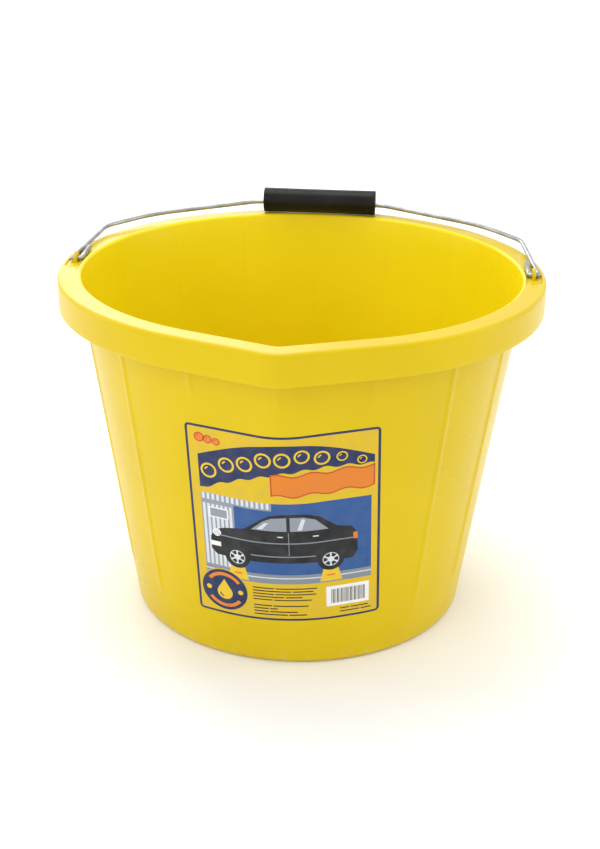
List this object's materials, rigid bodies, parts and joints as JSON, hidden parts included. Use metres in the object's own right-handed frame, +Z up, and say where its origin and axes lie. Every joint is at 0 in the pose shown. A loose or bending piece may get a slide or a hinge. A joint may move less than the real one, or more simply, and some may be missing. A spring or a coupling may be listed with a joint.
{
  "type": "wash bucket",
  "caption": "Tapered plastic wash bucket with a pouring lip, a folding wire bail, a loose tube grip and a plain printed label.",
  "frame": {"origin": "centre of the round foot, on the ground", "axes": "+Z up, -Y towards the pouring lip, the bail's ears on the X axis; the bail lies back along +Y at rest"},
  "size_m": [0.3434, 0.355, 0.2698],
  "materials": {
    "bucket_plastic": "moulded polypropylene, semi-gloss, solid yellow",
    "galvanised_wire": "bright galvanised drawn wire",
    "grip_plastic": "moulded tube, satin black",
    "label_film": null
  },
  "bodies": {
    "bucket": {"bucket_body": "bucket_plastic", "label": "label_film"},
    "bail": {"bail_wire": "galvanised_wire"},
    "grip": {"handle_grip": "grip_plastic"}
  },
  "joints": [
    {"name": "bail_swing", "type": "hinge", "parent": "bucket", "child": "bail", "pos_m": [0, 0, 0.2512], "axis": [1, 0, 0], "range_deg": [0, 173.5]},
    {"name": "grip_spin", "type": "hinge", "parent": "bail", "child": "grip", "pos_m": [0, 0.15855, 0.26005], "axis": [1, 0, 0], "continuous": true}
  ]
}
